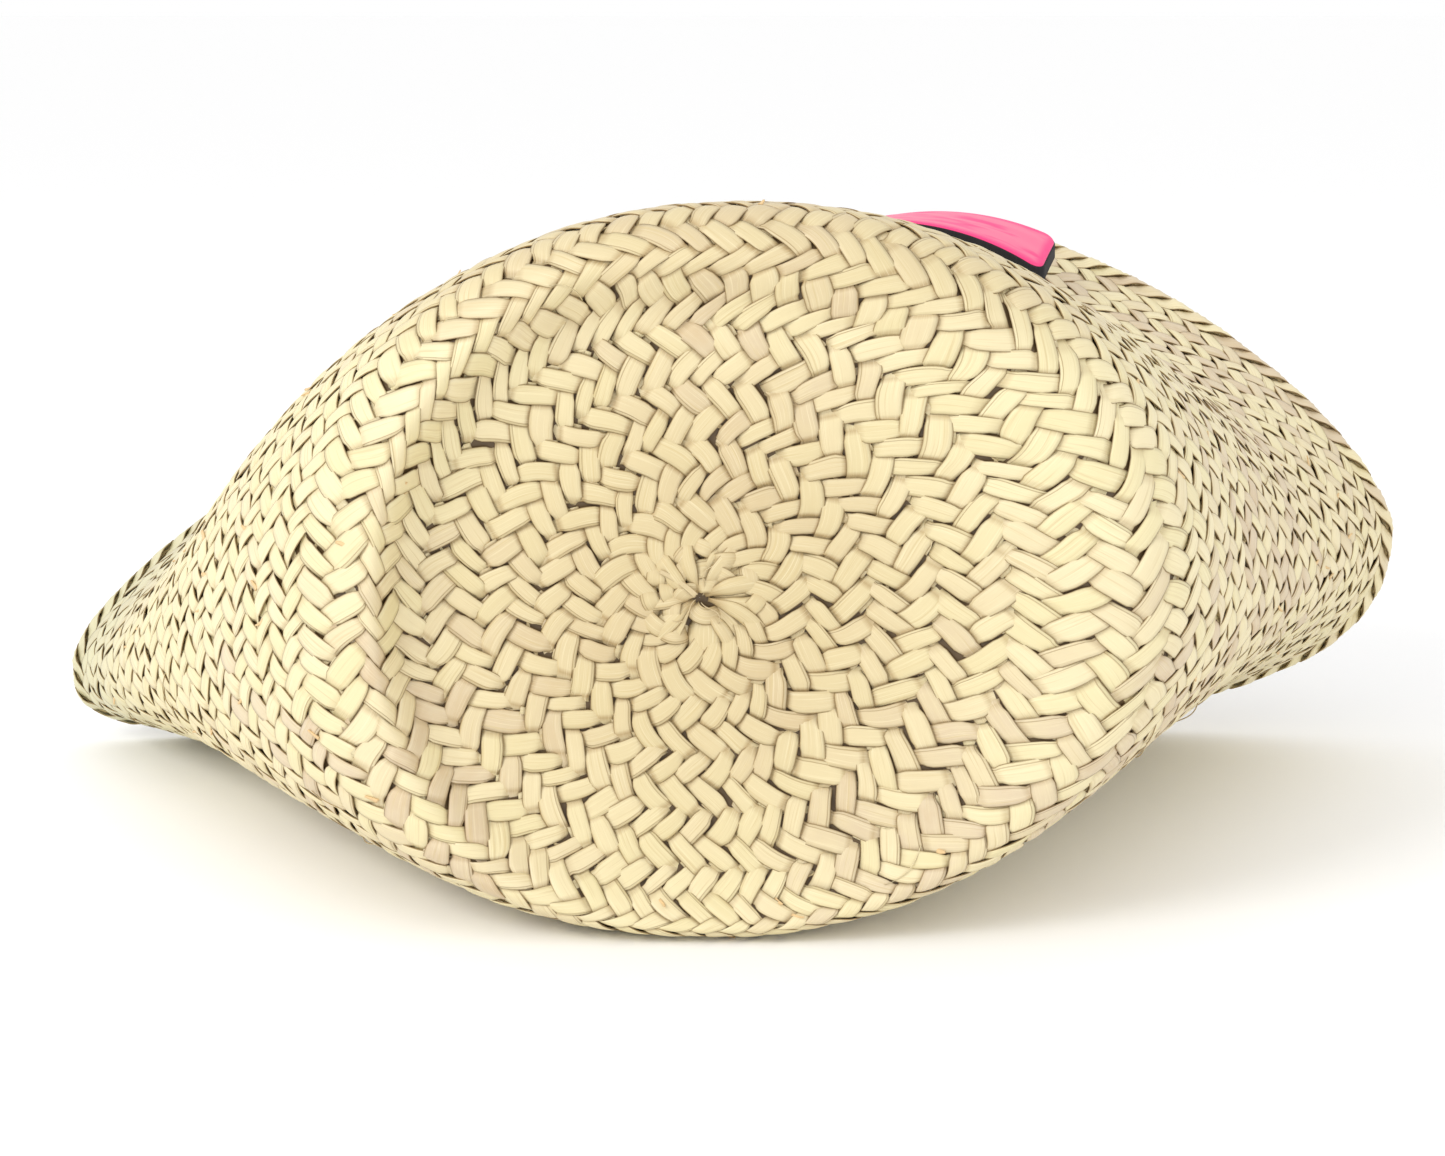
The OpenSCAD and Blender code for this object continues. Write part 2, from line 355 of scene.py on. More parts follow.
def weave_strips(strips, v0, band, lean, rows, rng, steps=36, over_rim=False):
    """Adds the strips of a band that lean one way; lean is +1 or -1, rows is (first, last).

    band is (rows, relief). It is a two-over, two-under twill: strips with lean +1 show in
    rows 1, 2, 5 and 6, and the others in rows 0, 3, 4 and 7.
    """
    band_width = band[0] * ROW_STEP
    girth = wall.girth(v0 + band_width / 2)
    count = round(girth / STRIP_STEP)
    spacing = girth / count
    row = np.linspace(rows[0], rows[1], steps)[None, :]
    across = (row + 0.5) * ROW_STEP
    first = np.arange(count)[:, None] * spacing + rng.uniform(-0.75, 0.75, (count, 1))
    if lean < 0:
        first = first + ROW_STEP
    phase = lean * np.cos((row - 1.5) * math.pi / 2)
    level = np.tanh(FLATNESS * phase) / math.tanh(FLATNESS)
    amount = band[1] * rng.uniform(0.75, 1.3, (count, 1))
    lift = amount * level + 0.25 * rng.uniform(0, 1, (count, 1)) * np.maximum(phase, 0) ** 2
    if over_rim:
        out = smooth_ramp(row, 7.2, 8.1)
        tail = smooth_ramp(row, 9.9, 10.8)
        on_rim = ROLL + (1.35 - ROLL) * tail
        lift = lift * (1 - out) + (on_rim + 0.3 * rng.uniform(0, 1, (count, 1))) * out

    # the leaf narrows where it dives under its neighbours, one side more than the other
    dive = np.exp(-((phase / DIVE) ** 2))
    if over_rim:
        dive = dive * (1 - out)
    wave = rng.uniform(0, TAU, (2, count, 1))
    pinch = 0.06 + 0.3 * np.sin(2.1 * row + wave)
    natural = 0.5 * STRIP_WIDTH * rng.uniform(0.94, 1.14, (count, 1))
    left = natural * (1 - dive * pinch[0].clip(0))
    right = natural * (1 - dive * pinch[1].clip(0))
    sway = 0.3 * np.sin(1.3 * row + rng.uniform(0, TAU, (count, 1)))
    if over_rim:
        left = left * (1 + 0.3 * out)
        right = right * (1 + 0.3 * out)
    half = np.where(SECTION_SIDE < 0, left[..., None], right[..., None])
    side = (SECTION_SIDE * half + sway[..., None]) / math.sqrt(2)
    s = first[..., None] + lean * across[..., None] + side
    t = across[..., None] - lean * side
    # the whole plait wanders a little, the strips of both leans together
    bend = TAU * s / girth
    s = s + 0.9 * np.sin(round(girth / 47) * bend + 0.13 * t) + 0.4 * np.sin(round(girth / 19) * bend)
    t = t + 0.8 * np.sin(round(girth / 61) * bend + v0) * np.sin(math.pi * t / band_width)
    t = np.clip(t, across[0, 0], across[0, -1])
    crown = rng.uniform(-0.12, 0.4, (count, 1)) * np.ones_like(lift)
    tilt = rng.uniform(-0.3, 0.3, (count, 1, 1))
    height = section_heights(crown, lift) + tilt * SECTION_SIDE
    points = wall.point(v0 + t, s / girth, height)
    length = np.broadcast_to(row * STRIP_WIDTH, (count, steps))
    # painted shade: the leaf is darkened where it dives under its neighbours
    shade = 1 - smooth_ramp(np.abs(lift), 0.05, 0.5)
    # strips of one tone lie in groups
    groups = 0.24 * np.sin(TAU * 3 * np.arange(count) / count + 0.3 * v0)
    hue = np.clip(rng.uniform(0.08, 0.92, count) + groups, 0, 1)
    strips.add(points, length, shade, rng.uniform(0, 1, count), hue)


def free_strips(strips, v, f, lift, half, tilt, crown, shade, hue, rng):
    """Adds strips along free paths on the wall; v to shade are (strips, steps)."""
    dv = np.gradient(v, axis=1)
    ds = np.gradient(f, axis=1) * wall.girth(v)
    size = np.hypot(dv, ds) + 1e-9
    side = SECTION_SIDE * half[..., None]
    flat = side * np.cos(tilt)[..., None]
    v_side = v[..., None] + flat * (-ds / size)[..., None]
    f_side = f[..., None] + flat * (dv / size / wall.girth(v))[..., None]
    height = section_heights(crown, lift) + side * np.sin(tilt)[..., None]
    points = wall.point(v_side, f_side, height)
    length = np.cumsum(size, axis=1)
    strips.add(points, length, shade, rng.uniform(0, 1, len(v)), hue)


def loose_bits(strips, v0, count, rng):
    """Cut leaf ends that stand off the plait, and a few fine fibres."""
    q = np.linspace(0, 1, 9)[None, :]
    for kind, number in (("stub", count), ("fibre", count // 3)):
        v = v0 + rng.uniform(4, 36, (number, 1))
        f = rng.uniform(0, 1, (number, 1))
        heading = rng.choice([-1, 1], (number, 1)) * rng.uniform(0.5, 1.0, (number, 1))
        if kind == "stub":
            length = rng.uniform(2.5, 5, (number, 1))
            half = rng.uniform(0.6, 1.3, (number, 1)) * (1 - 0.5 * q)
            lift = 0.7 + rng.uniform(0.4, 1.6, (number, 1)) * q**1.5
            hue = rng.uniform(1.2, 1.6, number)
        else:
            length = rng.uniform(8, 22, (number, 1))
            half = 0.14 * np.ones((number, 1)) * (1 - 0.4 * q)
            lift = 1.0 + rng.uniform(0.5, 1.6, (number, 1)) * np.sin(math.pi * q)
            hue = rng.uniform(0.2, 0.6, number)
        bend = rng.uniform(-0.3, 0.3, (number, 1)) * q**2
        path_v = v + length * q * np.cos(heading + bend)
        path_f = f + length * q * np.sin(heading + bend) / wall.girth(v)
        flat = np.zeros_like(path_v)
        free_strips(strips, path_v, path_f, lift, half, flat, flat, flat, hue, rng)


def painted_shadow_sheet(strips, v, around, depth=SHADOW_DEPTH):
    """A near-black sheet between the two faces of the plait, seen only through the gaps: painted shadow
    in place of the deep shade there.
    """
    f = np.arange(around + 1) / around
    grid_v, grid_f = np.meshgrid(v, f, indexing="ij")
    points = wall.point(grid_v, grid_f, np.full_like(grid_v, -depth))
    strips.add_sheet(points, hue=-1.0)


def weave_band(strips, start, rows, relief, rng):
    """Adds both leans of a band that ends under the next one."""
    band = (rows, relief)
    steps = (36, 36) if rows == ROWS else (20, 22)
    weave_strips(strips, start, band, 1, (UNDER - 1, rows - UNDER), rng, steps[0])
    weave_strips(strips, start, band, -1, (-SEAM_LAP, rows - 1.4), rng, steps[1])


def build_turn(index, material):
    rng = np.random.default_rng(100 + index)
    strips = Strips()
    v0 = turn_start(index)
    if index < SPLIT_TURNS:
        # strips are added half way through the tight inner turns, so that they stay as wide
        for start in (v0, v0 + TURN_PITCH / 2):
            weave_band(strips, start, ROWS / 2, RELIEF * SPLIT_RELIEF, rng)
    elif index < TURNS - 1:
        weave_band(strips, v0, ROWS, RELIEF, rng)
        loose_bits(strips, v0, 4 + 2 * index, rng)
    else:
        band = (ROWS, RELIEF)
        weave_strips(strips, v0, band, 1, (UNDER - 1, ROWS - UNDER), rng)
        weave_strips(strips, v0, band, -1, (-SEAM_LAP, ROWS + 2.9), rng, steps=46, over_rim=True)
    around = round(wall.girth(v0 + TURN_PITCH / 2) / 3.5)
    painted_shadow_sheet(strips, np.linspace(v0 - 0.5, v0 + TURN_PITCH + 0.5, 16), around)
    name = "plait_turn_%02d" % (index + 1)
    return finish_piece(strips.build(name), material, ["turn_%02d" % (index + 1)])


def petals(strips, count, far, lift, width, swing, tilts, rng):
    """Adds leaf ends that run together in the middle of the base like petals."""
    q = np.linspace(0, 1, 26)[None, :]
    start = (np.arange(count)[:, None] + rng.uniform(-0.25, 0.25, (count, 1))) / count
    near = rng.uniform(1.0, 4.5, (count, 1))
    radius = near + (far - near) * q * rng.uniform(0.94, 1.06, (count, 1))
    winding = rng.uniform(-swing, swing, (count, 1)) * (1 - q) ** 1.4
    bend = rng.uniform(-0.02, 0.02, (count, 1)) * np.sin(math.pi * q)
    broad = width * rng.uniform(0.78, 1.22, (count, 1))
    half = 0.5 * broad * (0.3 + 0.7 * smooth_ramp(q, 0, 0.5))
    turned = rng.uniform(*tilts, (count, 1)) * rng.choice([1, -1], (count, 1), p=[0.75, 0.25])
    tilt = np.radians(turned) * (1 - 0.75 * q)
    bulge = np.sin(math.pi * np.clip(q * 1.05, 0, 1)) ** 0.7
    level = lift + rng.uniform(-1.0, 1.0, (count, 1))
    height = level - 1.6 + 2.1 * bulge
    crown = np.sin(math.pi * q) * rng.uniform(0.4, 1.7, (count, 1))
    # painted shade: petals darken towards the middle, where they run together, and at their outer ends
    shade = 1 - smooth_ramp(q, 0.0, 0.4) * (1 - smooth_ramp(q, 0.8, 1.0))
    hue = rng.uniform(0, 0.8, count)
    args = (radius, start + winding + bend, height, half, tilt, crown, shade)
    free_strips(strips, *args, hue, rng)


def knot_floats(strips, count, middle, first, last, rng):
    """Adds short floats that cross the petals and tie them down; first and last are shares
    of the way round."""
    q = np.linspace(0, 1, 18)[None, :]
    place = (np.arange(count)[:, None] + 0.5 + rng.uniform(-0.2, 0.2, (count, 1))) / count
    start = first + (last - first) * place
    length = rng.uniform(9, 12, (count, 1))
    heading = np.radians(rng.uniform(45, 88, (count, 1))) * rng.choice([-1, 1], (count, 1))
    radius = middle * rng.uniform(0.92, 1.08, (count, 1)) + length * (q - 0.5) * np.cos(heading)
    radius = np.maximum(radius, 0.4)
    f = start + length * (q - 0.5) * np.sin(heading) / (TAU * middle)
    arch = np.sin(math.pi * q) ** 0.6
    half = rng.uniform(2.7, 3.5, (count, 1)) * (0.78 + 0.22 * arch)
    tilt = np.radians(rng.uniform(-14, 14, (count, 1))) * np.ones_like(q)
    crown = rng.uniform(0.1, 0.6, (count, 1)) * np.ones_like(q)
    hue = rng.uniform(0, 0.9, count)
    # painted shade (1 - arch): each float darkens towards both ends, where it goes down under the petals
    free_strips(strips, radius, f, 3.2 * arch - 1.4, half, tilt, crown, 1 - arch, hue, rng)


def build_knot(material):
    rng = np.random.default_rng(7)
    strips = Strips()
    petals(strips, 9, 24, -1.4, 12.0, 0.05, (0, 10), rng)
    petals(strips, 13, 22.5, 0.5, 6.3, 0.06, (18, 44), rng)
    knot_floats(strips, 3, 5.5, 0.35, 1.1, rng)
    knot_floats(strips, 5, 11.0, 0.32, 0.86, rng)
    knot_floats(strips, 9, 17.0, 0.2, 0.95, rng)
    q = np.linspace(0, 1, 16)[None, :]
    # one dry flake and three fibres lie over the middle
    zero = np.zeros_like(q)
    brown = np.array([1.0])
    flake_v = 2 + 15 * q
    flake = (flake_v, 0.62 + 0.03 * q, 2.8 + 0.6 * q, 1.1 - 0.3 * q, zero, zero, zero)
    free_strips(strips, *flake, brown, rng)
    for turn, length in ((0.38, 12), (0.05, 9), (0.8, 11)):
        fibre_v = 1.5 + length * q
        fibre_f = turn + 0.1 * np.sin(2.6 * q)
        rise = 0.9 + 2.4 * np.sin(2.4 * q)
        free_strips(strips, fibre_v, fibre_f, rise, 0.18 + zero, zero, zero, zero, brown, rng)
    # painted shadow: the dark sheet lies deeper in the hollow of the knot
    painted_shadow_sheet(strips, np.linspace(0, KNOT_RADIUS + 1, 12), 96, 0.7)
    return finish_piece(strips.build("start_knot"), material, ["knot"])


# --- cords in the wall ---------------------------------------------------------------------------


def ring_of_cord(name, v, depth, radius, plies, lay, sides, step):
    """A cord of twisted plies that runs once round the wall at a depth outwards from its
    middle; lay is the length of one twist, sides and step set how fine the mesh is."""
    girth = wall.girth(v)
    steps = int(girth / step)
    f = np.arange(steps) / steps
    turns = round(girth / lay)
    around = np.arange(sides) / sides * TAU
    parts = []
    for ply in range(plies):
        angle = TAU * (turns * f + ply / plies)
        ply_radius = radius * (0.5 if plies == 2 else 0.42)
        offset = radius - ply_radius
        dv = offset * np.cos(angle)[:, None] + ply_radius * np.cos(around)
        dh = offset * np.sin(angle)[:, None] + ply_radius * np.sin(around)
        centre, normal, onward = wall.frame(np.full(steps, v), f)
        centre = centre + normal * depth
        ring = centre[:, None] + onward[:, None] * dv[..., None] + normal[:, None] * dh[..., None]
        parts.append(ring)
    return new_piece(name, np.array(parts), tube_faces(plies, steps, sides, closed=True))


# --- handles -------------------------------------------------------------------------------------


def placement(location, *turns):
    """Matrix in millimetres: a location, then turns as (degrees, axis), in that order."""
    matrix = Matrix.Translation(Vector(location) + Vector(ORIGIN_SHIFT))
    for degrees, axis in turns:
        matrix = matrix @ Matrix.Rotation(math.radians(degrees), 4, axis)
    return matrix


UPPER = {
    "name": "upper",
    "body": "upper_handle",
    "place": placement((82.8, 251.3, 230), (-19, "Z"), (4, "X")),
    "radius": 90,
    "turn": 28,
    "anchors": ((367, 73.5, 8), (391, 96.5, 6)),
}
LOWER = {
    "name": "lower",
    "body": "lower_handle",
    "place": placement((-12, 276, 9.4), (5, "X"), (180, "X")),
    "radius": 200,
    "turn": 0,
    "anchors": ((402, 277.6, 4.2), (403, 260, 4.9)),
}


def strap_outline(inset, count=400):
    """Rounded rectangle of the strap seen from above, pulled in by inset, as (x, y) points."""
    length = SHORT_END + LONG_END - 2 * inset
    width = HANDLE_WIDTH - 2 * inset
    corner = max(CORNER - inset, 0.6)
    straight_x = length - 2 * corner
    straight_y = width - 2 * corner
    quarter = corner * math.pi / 2
    total = 2 * (straight_x + straight_y) + 4 * quarter
    sides = (straight_y, quarter, straight_x, quarter) * 2
    ends = np.cumsum((0,) + sides)
    middle = np.array([(LONG_END - SHORT_END) / 2, 0])
    hub = np.array([straight_x / 2, straight_y / 2])
    out = []
    for d in np.arange(count) / count * total:
        side = min(int(np.searchsorted(ends, d, side="right")) - 1, 7)
        part = d - ends[side]
        half_turn = 1 if side < 4 else -1
        kind = side % 4
        if kind == 0:
            xy = (hub[0] + corner, -hub[1] + part)
        elif kind == 1:
            a = part / corner
            xy = (hub[0] + corner * math.cos(a), hub[1] + corner * math.sin(a))
        elif kind == 2:
            xy = (hub[0] - part, hub[1] + corner)
        else:
            a = math.pi / 2 + part / corner
            xy = (-hub[0] + corner * math.cos(a), hub[1] + corner * math.sin(a))
        out.append(middle + half_turn * np.array(xy))
    return np.array(out)


def strap_wrinkles(x, y):
    """Height of the soft lengthwise wrinkles of the leather, in millimetres."""
    long_waves = np.sin(0.09 * x + 0.5 * y + 1.1 * np.sin(0.05 * x)) * np.exp(-((y - 3) / 9) ** 2)
    short_waves = 0.4 * np.sin(0.21 * x - 0.8 * y + 2 * np.sin(0.11 * x))
    return 0.26 * long_waves + 0.06 * short_waves


def strap_layer(name, handle, low, high, inset, round_top, round_bottom, wrinkle):
    """One layer of a strap, with rounded edges. Heights are from the side facing the wall."""
    quarter = np.linspace(0, math.pi / 2, 7)
    inner = (0.96, 0.9, 0.82, 0.72, 0.6, 0.48, 0.36, 0.24, 0.12, 0.0)
    rings = []
    centre = np.array([(LONG_END - SHORT_END) / 2, 0])

    def add_ring(xy, z, edge):
        rings.append(np.column_stack([xy, np.full(len(xy), z), np.full(len(xy), edge)]))

    base = strap_outline(inset + round_bottom)
    for share in inner[::-1]:
        add_ring(centre + (base - centre) * share, low, 9)
    for a in quarter:
        pull = round_bottom * (1 - math.sin(a))
        add_ring(strap_outline(inset + pull), low + round_bottom * (1 - math.cos(a)), 0)
    for a in quarter[::-1]:
        pull = round_top * (1 - math.sin(a))
        add_ring(strap_outline(inset + pull), high - round_top * (1 - math.cos(a)), pull)
    top = strap_outline(inset + round_top)
    for share in inner:
        add_ring(centre + (top - centre) * share, high, 9)
    grid = np.array(rings)
    x, y, z = grid[..., 0], grid[..., 1], grid[..., 2]
    to_edge = np.minimum(
        np.minimum(x + SHORT_END, LONG_END - x), HANDLE_WIDTH / 2 - np.abs(y)
    ) - inset
    on_top = smooth_ramp(z, (low + high) / 2, high)
    z = z + wrinkle * strap_wrinkles(x, y) * on_top * smooth_ramp(to_edge, 0.5, 5)
    turn = math.radians(handle["turn"])
    radius = handle["radius"]
    q = x * math.cos(turn) - y * math.sin(turn)
    z = np.sqrt((radius + z) ** 2 - q**2) - radius
    local = np.stack([x, y, z, np.ones_like(x)], -1)
    points = local @ np.array(handle["place"]).T
    steps, sides = x.shape
    faces = tube_faces(1, steps, sides)[: (steps - 1) * sides]
    values = {"edge": to_edge, "strap_x": x, "strap_y": y}
    return new_piece(name, points[..., :3], faces, None, values)


def wall_at(v, degrees):
    """Outer point and outward normal of the wall at a distance and a direction."""
    a = math.radians(degrees)
    at = outer_surface(np.array(float(v)), np.array(a))
    d_v = outer_surface(np.array(v + 0.5), np.array(a)) - at
    d_a = outer_surface(np.array(float(v)), np.array(a + 0.01)) - at
    return at, unit(np.cross(d_v, d_a))


def axes_round(normal):
    """Two directions at right angles to the normal."""
    first = unit(np.cross(normal, [0.0, 0.0, 1.0] if abs(normal[2]) < 0.9 else [1.0, 0, 0]))
    return first, np.cross(normal, first)


def lashing_points(anchor, strands=3, steps=40, sides=10):
    """Twisted strands from the button inside the wall up to the strap."""
    v, degrees, height = anchor
    at, normal = wall_at(v, degrees)
    e1, e2 = axes_round(normal)
    up = np.linspace(-WALL - 3.6, 0.8 + height, steps)
    around = np.arange(sides) / sides * TAU
    out = []
    for strand in range(strands):
        angle = TAU * (up / 9 + strand / strands)
        # the strands spread a little where they go into the strap
        spread = 1.05 + 0.5 * smooth_ramp(up, height - 2, height + 0.8)
        centre = at + np.outer(up, normal)
        centre = centre + np.outer(spread * np.cos(angle), e1) + np.outer(spread * np.sin(angle), e2)
        ring = np.cos(around)[:, None] * e1 + np.sin(around)[:, None] * e2
        out.append(centre[:, None] + 1.0 * ring[None])
    return np.array(out)


def stitch_points(anchor, sides=8, steps=24):
    """Two crossed stitches over the button, on the inside of the wall."""
    v, degrees, _ = anchor
    at, normal = wall_at(v, degrees)
    e1, e2 = axes_round(normal)
    around = np.arange(sides) / sides * TAU
    out = []
    for across, sideways in ((e1, e2), (e2, e1)):
        q = np.linspace(-1, 1, steps)
        drop = WALL + 4.9 - 1.6 * q**6 + (0.5 if across is e1 else 0.0) * (1 - q**2)
        centre = at + np.outer(4.2 * q, across) - np.outer(drop, normal)
        ring = np.cos(around)[:, None] * sideways + np.sin(around)[:, None] * normal
        out.append(centre[:, None] + 0.85 * ring[None])
    return np.array(out)


def build_lashings(handle, material):
    name = handle["name"]
    points = np.array([lashing_points(a) for a in handle["anchors"]])
    count, strands, steps, sides = points.shape[:4]
    faces = tube_faces(count * strands, steps, sides)
    stitches = np.array([stitch_points(a) for a in handle["anchors"]])
    more = tube_faces(stitches.shape[0] * stitches.shape[1], stitches.shape[2], stitches.shape[3])
    both = np.concatenate([points.reshape(-1, 3), stitches.reshape(-1, 3)])
    faces = np.concatenate([faces, more + points.size // 3])
    piece = new_piece(name + "_lashing_cords", both, faces)
    piece.data.materials.append(material)
    for v, degrees, height in handle["anchors"]:
        at, normal = wall_at(v, degrees)
    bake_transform(piece)
    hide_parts(name + "_lashings")
    return piece


def build_buttons(handle, material):
    """Round leather discs on the inside of the wall, one for each lashing."""
    sides = 64
    # radius and height of the rings of a disc, from the side on the wall, with a pressed groove
    profile = [(0, 0), (4, 0), (7.1, 0), (7.8, 0.3), (DISC_RADIUS, 0.9), (7.8, 1.5), (7.1, 1.8)]
    profile += [(6.5, 1.72), (6.1, 1.5), (5.7, 1.72), (5.2, 1.8), (3, 1.85), (0, 1.9)]
    around = np.arange(sides) / sides * TAU
    parts = []
    for v, degrees, _ in handle["anchors"]:
        at, normal = wall_at(v, degrees)
        e1, e2 = axes_round(normal)
        for radius, height in profile:
            ring = np.cos(around)[:, None] * e1 + np.sin(around)[:, None] * e2
            parts.append(at + radius * ring - normal * (WALL + DISC_GAP + height))
    points = np.array(parts)
    steps = len(profile)
    one = tube_faces(1, steps, sides)[: (steps - 1) * sides]
    faces = np.concatenate([one, one + steps * sides])[:, ::-1]
    edge = np.tile(np.repeat([DISC_RADIUS - radius for radius, _ in profile], sides), 2)
    values = {"edge": edge, "strap_x": points[..., 0], "strap_y": points[..., 1]}
    piece = new_piece(handle["name"] + "_backing_discs", points, faces, None, values)
    return finish_piece(piece, material, [handle["name"] + "_buttons"])


def build_handle(handle, looks):
    name = handle["name"]
    body = handle["body"]
    below_cover = LINING + CORE
    cover = strap_layer(
        name + "_cover", handle, below_cover + 0.1, below_cover + COVER, 0.5, 0.7, 0.1, 1.0
    )
    finish_piece(cover, looks["leather"], [name + "_leather"], body)
    core = strap_layer(name + "_padding", handle, 0.25, below_cover + 0.25, 0.0, 0.5, 0.8, 0.0)
    finish_piece(core, looks["core"], [name + "_core"], body)
    lining = strap_layer(name + "_under_leather", handle, 0.0, 0.6, LINING_INSET, 0.1, 0.25, 0.0)
    finish_piece(lining, looks["leather"], [name + "_lining"], body)
    build_lashings(handle, looks["cord"])
    build_buttons(handle, looks["leather"])


# --- materials -----------------------------------------------------------------------------------


class Nodes:
    """Short way to write a material's node tree."""

    def __init__(self, name):
        self.material = bpy.data.materials.new(name)
        self.material.use_nodes = True
        self.tree = self.material.node_tree
        self.shader = self.tree.nodes["Principled BSDF"]

    def add(self, kind, settings=(), **inputs):
        node = self.tree.nodes.new(kind)
        for key, value in dict(settings).items():
            setattr(node, key, value)
        for key, value in inputs.items():
            self.feed(node.inputs[key.replace("_", " ")], value)
        return node

    def feed(self, socket, value):
        if isinstance(value, bpy.types.NodeSocket):
            self.tree.links.new(value, socket)
        else:
            socket.default_value = value

    def attribute(self, name):
        node = self.add("ShaderNodeAttribute", {"attribute_name": name})
        return node.outputs["Fac"]

    def math(self, operation, first, second=0.0, third=0.0):
        node = self.add("ShaderNodeMath", {"operation": operation})
        for socket, value in zip(node.inputs, (first, second, third)):
            self.feed(socket, value)
        return node.outputs[0]

    def vector(self, x, y, z):
        return self.add("ShaderNodeCombineXYZ", X=x, Y=y, Z=z).outputs[0]

    def noise(self, vector, scale, detail=2.0, roughness=0.5):
        node = self.add("ShaderNodeTexNoise", Vector=vector, Scale=scale, Detail=detail)
        node.inputs["Roughness"].default_value = roughness
        return node.outputs["Fac"]

    def ramp(self, value, stops):
        node = self.add("ShaderNodeValToRGB", Fac=value)
        ramp = node.color_ramp
        while len(ramp.elements) < len(stops):
            ramp.elements.new(0.5)
        for element, (place, colour) in zip(ramp.elements, stops):
            element.position = place
            element.color = (*colour, 1)
        return node.outputs["Color"]

    def mix(self, amount, first, second, blend="MIX"):
        node = self.add("ShaderNodeMix", {"data_type": "RGBA", "blend_type": blend})
        self.feed(node.inputs["Factor"], amount)
        for socket, value in ((node.inputs[6], first), (node.inputs[7], second)):
            self.feed(socket, value if isinstance(value, bpy.types.NodeSocket) else (*value, 1))
        return node.outputs[2]

    def steps(self, value, low, high):
        """0 below low, 1 above high, smooth in between."""
        node = self.add("ShaderNodeMapRange", {"interpolation_type": "SMOOTHSTEP"})
        for key, number in (("Value", value), ("From Min", low), ("From Max", high)):
            self.feed(node.inputs[key], number)
        return node.outputs[0]

    def bump(self, height, distance, strength=1.0):
        node = self.add("ShaderNodeBump", Height=height, Distance=distance, Strength=strength)
        return node.outputs[0]


# Colours of the leaf
LEAF_TONES = [
    (0.0, (0.82, 0.73, 0.46)),
    (0.3, (0.75, 0.66, 0.38)),
    (0.55, (0.80, 0.70, 0.44)),
    (0.76, (0.73, 0.62, 0.39)),
    (0.9, (0.66, 0.54, 0.37)),
    (1.0, (0.60, 0.45, 0.27)),
]
STILL_GREEN = (0.60, 0.58, 0.38)
# darker leaf towards the middle of the base, and painted shade over the front of the top
DARKER_MIDDLE_SHADED_TOP_LEAF = (0.58, 0.46, 0.25)
# painted shade for leaf that lies between its neighbours
PAINTED_SHADE_BETWEEN_FLOATS = (0.38, 0.25, 0.10)
DARK_VEIN = (0.58, 0.45, 0.22)
LIGHT_VEIN = (0.93, 0.86, 0.60)
# brown of the cut leaf edges, and painted contact shade where neighbouring strips meet
CUT_EDGE_AND_CONTACT_SHADE = (0.26, 0.15, 0.05)
DOUBLED_EDGE = (0.36, 0.23, 0.09)
# near-black painted shadow for the sheet between the faces of the plait
PAINTED_SHADOW_SHEET = (0.10, 0.06, 0.022)
TORN_STUB = (0.74, 0.52, 0.26)


